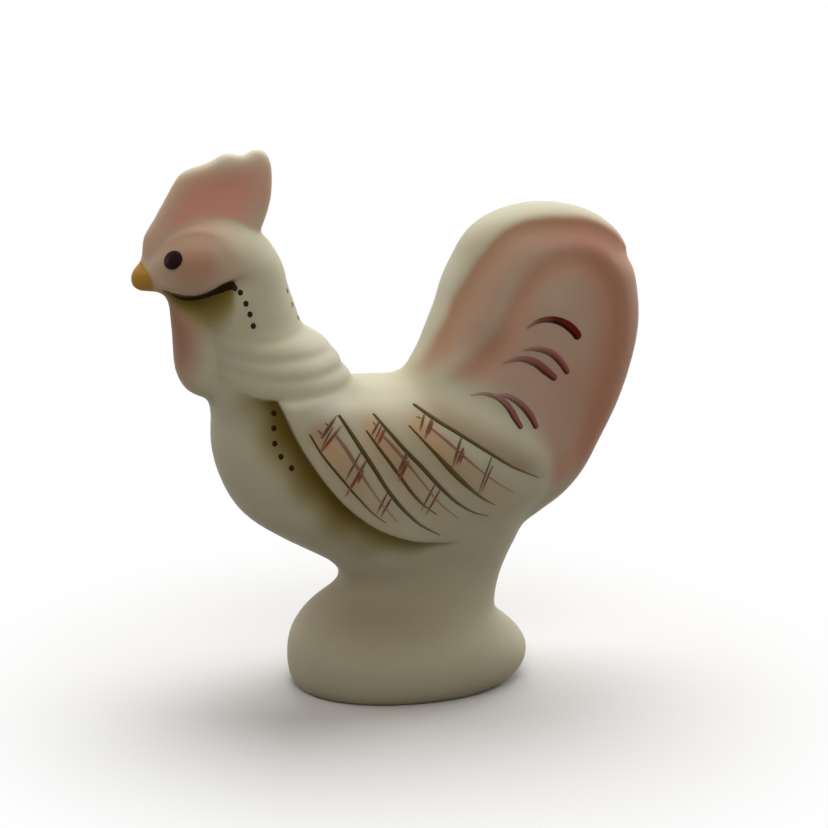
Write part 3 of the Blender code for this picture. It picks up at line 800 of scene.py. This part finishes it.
def painted_material(name, roughness, roughness_spread, scatter, grain, tone_spread, shine):
    """Glass or enamel that takes its colour from the paint attribute."""
    material = bpy.data.materials.new(name)
    material.use_nodes = True
    nodes, links = material.node_tree.nodes, material.node_tree.links
    shader = nodes["Principled BSDF"]
    shader.inputs["Subsurface Radius"].default_value = SCATTER_SPREAD
    shader.inputs["Subsurface Scale"].default_value = SCATTER_DEPTH
    shader.inputs["Specular IOR Level"].default_value = shine
    colour = nodes.new("ShaderNodeAttribute")
    colour.attribute_name = "paint"
    if scatter:
        under_paint = nodes.new("ShaderNodeMath")
        under_paint.operation = "MULTIPLY"
        under_paint.inputs[1].default_value = scatter
        links.new(colour.outputs["Alpha"], under_paint.inputs[0])
        links.new(under_paint.outputs[0], shader.inputs["Subsurface Weight"])

    cloud = add_noise(nodes, links, CLOUD_SCALE, CLOUD_DETAIL)
    tone = spread_over(nodes, links, cloud, 1.0 - tone_spread, 1.0 + tone_spread)
    rough = spread_over(nodes, links, cloud, roughness - roughness_spread, roughness + roughness_spread)
    shade = nodes.new("ShaderNodeVectorMath")
    shade.operation = "SCALE"
    links.new(colour.outputs["Color"], shade.inputs[0])
    links.new(tone, shade.inputs["Scale"])
    links.new(shade.outputs["Vector"], shader.inputs["Base Color"])
    links.new(rough, shader.inputs["Roughness"])

    bump = nodes.new("ShaderNodeBump")
    bump.inputs["Strength"].default_value = grain
    bump.inputs["Distance"].default_value = ETCH_DEPTH
    links.new(add_noise(nodes, links, ETCH_SCALE, ETCH_DETAIL), bump.inputs["Height"])
    links.new(bump.outputs["Normal"], shader.inputs["Normal"])
    return material


satin = painted_material("satin_glass", roughness=0.56, roughness_spread=0.05, scatter=0.5, grain=0.25,
                         tone_spread=0.045, shine=0.15)
skin.materials.append(satin)
print("material:", satin.name)

# %% [markdown]
# ## Brush lines
#
# A liner brush leaves a thin, slightly raised bead of enamel: wide where it was pressed, and drawn out to a
# hair where it left the glass. A curve with a bevel would give a wire. Instead a grid is rolled into a
# flat lens and laid along the line, with each point dropped onto the skin. Enamel settles to the lower side
# of a stroke, which is why that edge is darker, and where the brush had little on it the glass shows
# through. Both are mixed into the colour of each point, with a streak for each tuft of hair.

# %% How a line is laid
ACROSS = 20
LINE_STEP, FEWEST_STEPS = 1.3, 10
PATH_FINENESS = 8
END_CROWDING = 0.55
PAINT_HEIGHT = 0.10 * MM
PAINT_SINK = 0.12 * MM
SEARCH = 60.0 * MM
EDGE_FADE = 3.2
SETTLED_MIDDLE, SETTLED_SPREAD = 0.3, 0.9
STREAKS, STREAK_SEED = 0.22, 11
hairs = np.random.default_rng(STREAK_SEED)


def on_skin(pixel):
    """The point of the skin that a pixel of the photograph shows."""
    start, way = ray_through(pixel)
    hit, normal, _, _ = tree.ray_cast(start, way)
    return hit, normal


def mirrored(point):
    """The matching point on the far side of the bird, dropped onto its skin."""
    hit, normal, _, _ = tree.find_nearest(Vector((point.x, -point.y, point.z)), SEARCH)
    return hit, normal


def part_way(values, share):
    """A value part of the way through a list that is spread evenly over the stroke."""
    return np.interp(share, np.linspace(0.0, 1.0, len(values)), values)


def lay_line(bm, paint_layer, pixels, widths, colour, edge, far_side, cover):
    """Lays one brush line through pixels of the photograph, or its twin on the far side.

    widths, in mm, and cover, how much the paint hides, are spread evenly from its start to its end.
    colour is on the left of the way it is drawn, and edge on its right, which is the lower side of a
    stroke that runs towards the tail.
    """
    pixels = np.array(pixels, float)
    length = np.linalg.norm(np.diff(pixels, axis=0), axis=1).sum()
    steps = max(FEWEST_STEPS, int(length / LINE_STEP))
    path = smooth_line(pixels, PATH_FINENESS * steps + 1)
    even = np.linspace(0.0, 1.0, steps + 1)
    crowded = 0.5 - 0.5 * np.cos(math.pi * even)
    shares = (1.0 - END_CROWDING) * even + END_CROWDING * crowded
    centres = [on_skin(path[round(share * PATH_FINENESS * steps)]) for share in shares]
    if any(hit is None for hit, _ in centres):
        print("a line left the glass near", pixels[0])
        return
    if far_side:
        centres = [mirrored(hit) for hit, _ in centres]
    reach = np.cumsum([0.0] + [(b[0] - a[0]).length for a, b in zip(centres, centres[1:])])
    from_end = np.minimum(reach, reach[-1] - reach)
    glass = stains_and_painted_light(np.array([hit for hit, _ in centres]))
    streak = 1.0 + STREAKS * hairs.uniform(-1.0, 1.0, ACROSS + 1)
    downward = 1.0 if far_side else -1.0
    grid = bmesh.ops.create_grid(bm, x_segments=steps, y_segments=ACROSS, size=0.5)["verts"]
    for vertex in grid:
        row, lane = round((vertex.co.x + 0.5) * steps), round((vertex.co.y + 0.5) * ACROSS)
        turn = 2.0 * math.pi * lane / ACROSS
        hit, normal = centres[row]
        ahead = centres[min(row + 1, steps)][0] - centres[max(row - 1, 0)][0]
        across = normal.cross(ahead).normalized()
        half = part_way(widths, shares[row]) * MM / 2.0
        cap = min(from_end[row] / half, 1.0)
        half *= math.sqrt(max(0.0, 1.0 - (1.0 - cap) ** 2))
        ground, ground_normal, _, _ = tree.find_nearest(hit + across * (math.cos(turn) * half), SEARCH)
        lift = math.sin(turn)
        height = (PAINT_HEIGHT if lift > 0.0 else PAINT_SINK) * lift
        vertex.co = ground + ground_normal * (height * cap)
        hides = part_way(cover, shares[row]) * smooth_step(max(lift, 0.0) * EDGE_FADE)
        lower = smooth_step(SETTLED_MIDDLE + SETTLED_SPREAD * math.cos(turn) * downward)
        mixed = (np.array(colour) * (1.0 - lower) + np.array(edge) * lower) * streak[lane]
        vertex[paint_layer] = (*(glass[row] * (1.0 - hides) + mixed * hides), 1.0)
    bmesh.ops.remove_doubles(bm, verts=grid, dist=WELD)


def finish_enamel(name, bm, material):
    """Makes one piece of enamel, which moves with the bird."""
    mesh = bpy.data.meshes.new(name)
    bm.to_mesh(mesh)
    bm.free()
    mesh.shade_smooth()
    mesh.materials.append(material)
    piece = bpy.data.objects.new(name, mesh)
    scene.collection.objects.link(piece)
    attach(piece, "root")
    print(name, len(mesh.polygons), "faces")


def paint_piece(name, strokes, material):
    """One piece of enamel made of strokes on both sides of the bird."""
    bm = bmesh.new()
    layer = bm.verts.layers.float_color.new("paint")
    for stroke in strokes:
        for far_side in (False, True):
            lay_line(bm, layer, far_side=far_side, **stroke)
    bmesh.ops.recalc_face_normals(bm, faces=bm.faces)
    finish_enamel(name, bm, material)


enamel = painted_material("fired_enamel", roughness=0.45, roughness_spread=0.06, scatter=0.0, grain=0.12,
                          tone_spread=0.16, shine=0.04)

# %% [markdown]
# ## Tail strokes
#
# Five comma strokes on the tail, made in one press and flick each: the tip touches lightly on the left and
# is leaned on as it turns down. The upper one was loaded with dark red, and the lower pairs with rose over a
# maroon edge. Each stroke is a few points, with its width and cover listed from its tip on.

# %% Tail strokes
DARK_RED, DARK_EDGE = (0.17, 0.018, 0.010), (0.035, 0.006, 0.003)
ROSE, MAROON = (0.38, 0.12, 0.11), (0.075, 0.006, 0.007)
LOADED, THIN_THEN_FULL = (0.35, 0.8, 1.0, 1.0, 1.0), (0.4, 0.75, 0.95, 1.0)
dark_comma = ([(526.3, 328.5), (540, 320.8), (555, 320), (566, 324.3), (575, 332), (579.5, 339)],
              (0.5, 1.2, 1.8, 2.3, 2.2))
rose_commas = [
    ([(522.5, 350), (536, 349), (550, 352.5), (560, 361), (568.5, 374)], (0.5, 1.3, 1.8, 1.9, 1.5)),
    ([(503, 363), (520, 358.8), (535, 362.5), (545, 370), (556.5, 379.5)], (0.5, 1.3, 2.0, 2.2, 1.7)),
    ([(491, 395), (507.5, 396.3), (520, 403.8), (530, 415), (537, 428.8)], (0.5, 1.2, 1.75, 1.9, 1.5)),
    ([(470.5, 395), (485, 393.8), (497.5, 397.5), (508.8, 407.5), (516.3, 420), (522, 429)],
     (0.4, 1.0, 1.6, 2.0, 1.6)),
]


def same_brush(strokes, colour, edge, cover):
    """Strokes of (pixels, widths) that are laid with one load of the brush."""
    return [dict(pixels=pixels, widths=widths, colour=colour, edge=edge, cover=cover)
            for pixels, widths in strokes]


tail_strokes = same_brush([dark_comma], DARK_RED, DARK_EDGE, LOADED)
tail_strokes += same_brush(rose_commas, ROSE, MAROON, THIN_THEN_FULL)
paint_piece("tail_strokes", tail_strokes, enamel)

# %% [markdown]
# ## Wing feathers
#
# Three long feathers, each between two olive lines. Short red and olive hatches cross them in pairs, and a
# thin red line runs down the middle. They are ordinary folk brushwork, so the same stroke does all of it,
# with a thinner brush. The lines are listed from the lowest feather up, as the painter laid them.

# %% Wing feathers
LINE_OLIVE, LINE_EDGE = (0.15, 0.105, 0.032), (0.075, 0.050, 0.012)
HATCH_OLIVE, HATCH_RED = (0.14, 0.085, 0.025), (0.24, 0.06, 0.032)
LINE_COVER, MIDDLE_COVER = (1.0, 1.0, 0.95, 0.7), (0.7, 0.75, 0.55, 0.45)
HATCH_COVER, HATCH_PRESS = (0.8, 0.95, 0.9, 0.5), (0.7, 1.0, 1.0, 0.4)
feather_lines = [
    ([(309.5, 434), (320.9, 453), (341.8, 479), (360, 500), (375.7, 515.7), (386.5, 523.4)],
     (0.45, 0.6, 0.6, 0.55, 0.25)),
    ([(338.5, 414.5), (352.2, 435), (363, 451.5), (375, 470), (388, 490.5), (404.4, 510.5), (420, 524.5),
      (440.5, 535.5)], (0.75, 1.05, 1.1, 1.0, 0.95, 0.7, 0.25)),
    ([(366, 430), (376, 444), (388.8, 461), (400.5, 477), (412.2, 493), (424, 505.5), (437.5, 514.8)],
     (0.45, 0.75, 0.85, 0.85, 0.7, 0.25)),
    ([(372.9, 413), (381, 422.5), (391, 434), (404.4, 449.2), (422.7, 468), (441, 488), (459, 504),
      (473, 512), (489, 516.3)], (0.6, 0.85, 0.95, 1.05, 1.05, 0.85, 0.6, 0.25)),
    ([(408.6, 425), (422.7, 440), (438.3, 456.5), (452.7, 472), (467, 485.7), (482.7, 498.3), (495.5, 505.3)],
     (0.4, 0.6, 0.9, 1.3, 1.15, 0.7, 0.25)),
    (TOP_LINE, (0.95, 1.25, 1.1, 0.95, 0.9, 0.8, 0.6, 0.25)),
]
middle_lines = [
    ([(335.5, 435), (346, 449), (357, 467), (367, 483), (380, 501.4), (398, 523)],
     (0.7, 1.0, 0.75, 0.5, 0.4, 0.2)),
    ([(381, 433.5), (394, 447.5), (409, 465.5), (425, 485.5), (440, 503.5), (459, 519)],
     (0.6, 0.8, 0.6, 0.5, 0.4, 0.2)),
    ([(431.4, 428.5), (448, 442), (464, 456.5), (483, 472.5), (500, 484.5), (514, 492.8)],
     (0.55, 0.75, 0.6, 0.5, 0.4, 0.2)),
]
olive_hatches = [
    ([(321.4, 438.6), (337.1, 415)], 0.8), ([(317.9, 430), (322.9, 435.7)], 0.4),
    ([(325, 422.9), (330, 427.1)], 0.4), ([(361.4, 451.4), (345, 481.4)], 0.5),
    ([(387.9, 492.1), (376.4, 514.3)], 0.5), ([(379.3, 421.4), (370.7, 437.1)], 0.6),
    ([(372.9, 421.4), (375.7, 425.7)], 0.4), ([(407.1, 451.4), (397.1, 475.7)], 0.75),
    ([(435.7, 482.9), (420.7, 511.4)], 0.5), ([(424.3, 414.3), (420, 431.4)], 0.6),
    ([(416.4, 416.4), (421.4, 418.6)], 0.4), ([(461.3, 437.5), (452.5, 467.5)], 0.7),
    ([(492, 456.3), (478, 495)], 0.45), ([(363, 464), (347, 496)], 0.4), ([(333, 427), (320.5, 450)], 0.4),
    ([(433, 421), (429, 435)], 0.45), ([(407.5, 456), (398.5, 480)], 0.4),
    ([(461, 454.5), (468, 459.5)], 0.45),
]
red_hatches = [
    ([(321.4, 451.4), (342.1, 425)], 0.7), ([(366.4, 460.7), (355, 481), (345, 497)], 0.8),
    ([(392.9, 495.7), (380.7, 517.1)], 0.55), ([(385, 428.6), (377.1, 445.7)], 0.85),
    ([(408.6, 460.7), (398.6, 481.4)], 0.8), ([(440.7, 488.6), (425, 516.4)], 0.55),
    ([(432.1, 418.6), (425, 438.6)], 0.85), ([(463.8, 447.5), (456.3, 465)], 0.8),
    ([(493, 465), (481.3, 492.5)], 0.45), ([(363.5, 470), (357.5, 484)], 0.6),
    ([(382, 425), (374.5, 441)], 0.5), ([(464.5, 452), (459, 465.5)], 0.4),
]
wing_strokes = same_brush(feather_lines, LINE_OLIVE, LINE_EDGE, LINE_COVER)
wing_strokes += same_brush(middle_lines, HATCH_RED, HATCH_RED, MIDDLE_COVER)
for hatches, colour in ((olive_hatches, HATCH_OLIVE), (red_hatches, HATCH_RED)):
    pressed = [(pixels, [press * width for press in HATCH_PRESS]) for pixels, width in hatches]
    wing_strokes += same_brush(pressed, colour, colour, HATCH_COVER)
paint_piece("wing_feathers", wing_strokes, enamel)

# %% [markdown]
# ## Jaw line
#
# One dark stroke follows the edge of the jaw from under the beak, and a second short one thickens its end to
# a small hook behind the cheek. One stroke could do both, but a grid that turns so sharply would fold.

# %% Jaw line
JAW_DARK, JAW_EDGE = (0.024, 0.012, 0.002), (0.012, 0.005, 0.001)
JAW_COVER, HOOK_COVER = (0.8, 1.0, 1.0), (1.0, 0.9)
jaw_stroke = ([(172, 294.8), (180, 298), (187, 298.9), (196, 298.3), (205, 296), (214, 292.2), (222, 288.5),
               (230, 285.3), (235.5, 284)], (0.3, 0.7, 0.9, 1.1, 1.6, 2.2, 2.1))
hook_stroke = ([(229, 287.5), (232.5, 287), (234.8, 288.6), (235.4, 291.4)], (1.6, 1.9, 1.5, 0.8))
jaw_strokes = same_brush([jaw_stroke], JAW_DARK, JAW_EDGE, JAW_COVER)
jaw_strokes += same_brush([hook_stroke], JAW_DARK, JAW_EDGE, HOOK_COVER)
paint_piece("jaw_line", jaw_strokes, enamel)

# %% [markdown]
# ## Beads and eyes
#
# The dots are beads of thick enamel set down from the end of a stick, so they stand up. A flattened ball,
# half sunk in the glass and turned to its surface, is the plain way to make one. The three behind the neck
# are worn thin, where fingers lift the bird, and have gone pale. The eye is the same bead, only larger, with
# a brown patch on its front that is a painted reflection.

# %% Beads
BEAD_DARK, BEAD_WIDTH, BEAD_HEIGHT = (0.040, 0.018, 0.006), 1.4, 0.42
WORN_PALE, WORN_WIDTH, WORN_HEIGHT = (0.36, 0.30, 0.16), 1.2, 0.2
BEAD_STRETCH, BEAD_SIDES = 0.88, 16
EYE_DARK, EYE_WIDTH, EYE_HEIGHT = (0.022, 0.006, 0.004), 4.55, 0.75
EYE_STRETCH, EYE_SIDES = 1.10, 32
# The eye's brown patch is a painted reflection.
EYE_REFLECTION, EYE_REFLECTION_REACH = (0.085, 0.038, 0.022), 1.5 * MM
EYE_PIXEL, EYE_REFLECTION_PIXEL = (173.0, 260.0), (168.5, 261.5)
bead_pixels = [
    (240.4, 292.6), (246.0, 303.7), (250.0, 314.4), (253.3, 326.0),
    (273.8, 413.2), (273.8, 428.2), (274.8, 443.7), (281.0, 456.8), (291.5, 468.2),
]
worn_bead_pixels = [(287.4, 290.7), (292.4, 304.5), (298.1, 317.5)]


def set_bead(bm, layer, hit, normal, width, height, stretch, colour, sides):
    """A flattened ball of enamel, its middle on the skin; stretch is its length over its width."""
    ball = bmesh.ops.create_uvsphere(bm, u_segments=sides, v_segments=sides // 2, radius=1.0)["verts"]
    turn = normal.to_track_quat("Z", "Y").to_matrix().to_4x4()
    size = Matrix.Diagonal((stretch * width / 2.0 * MM, width / 2.0 * MM, height * MM, 1.0))
    bmesh.ops.transform(bm, matrix=Matrix.Translation(hit) @ turn @ size, verts=ball)
    for vertex in ball:
        vertex[layer] = (*colour, 1.0)


def bead_piece(name, pixels, width, height, stretch, colour, sides, reflection_pixel=None):
    """One piece of beads on both sides. The last argument is where a painted reflection browns them."""
    bm = bmesh.new()
    layer = bm.verts.layers.float_color.new("paint")
    for pixel in pixels:
        hit, normal = on_skin(pixel)
        set_bead(bm, layer, hit, normal, width, height, stretch, colour, sides)
        set_bead(bm, layer, *mirrored(hit), width, height, stretch, colour, sides)
    # Painted reflection: a brown patch mixed into the eye's colour.
    if reflection_pixel:
        near = on_skin(reflection_pixel)[0]
        far = mirrored(near)[0]
        for vertex in bm.verts:
            gap = min((vertex.co - near).length, (vertex.co - far).length)
            reflected = float(1.0 - smooth_step(gap / EYE_REFLECTION_REACH))
            vertex[layer] = (*(a * (1.0 - reflected) + b * reflected for a, b in zip(colour, EYE_REFLECTION)), 1.0)
    finish_enamel(name, bm, thick_enamel)


thick_enamel = painted_material("thick_enamel", roughness=0.30, roughness_spread=0.05, scatter=0.0,
                                grain=0.05, tone_spread=0.10, shine=0.04)
bead_piece("beads", bead_pixels, BEAD_WIDTH, BEAD_HEIGHT, BEAD_STRETCH, BEAD_DARK, BEAD_SIDES)
bead_piece("worn_beads", worn_bead_pixels, WORN_WIDTH, WORN_HEIGHT, BEAD_STRETCH, WORN_PALE, BEAD_SIDES)
bead_piece("eyes", [EYE_PIXEL], EYE_WIDTH, EYE_HEIGHT, EYE_STRETCH, EYE_DARK, EYE_SIDES, EYE_REFLECTION_PIXEL)
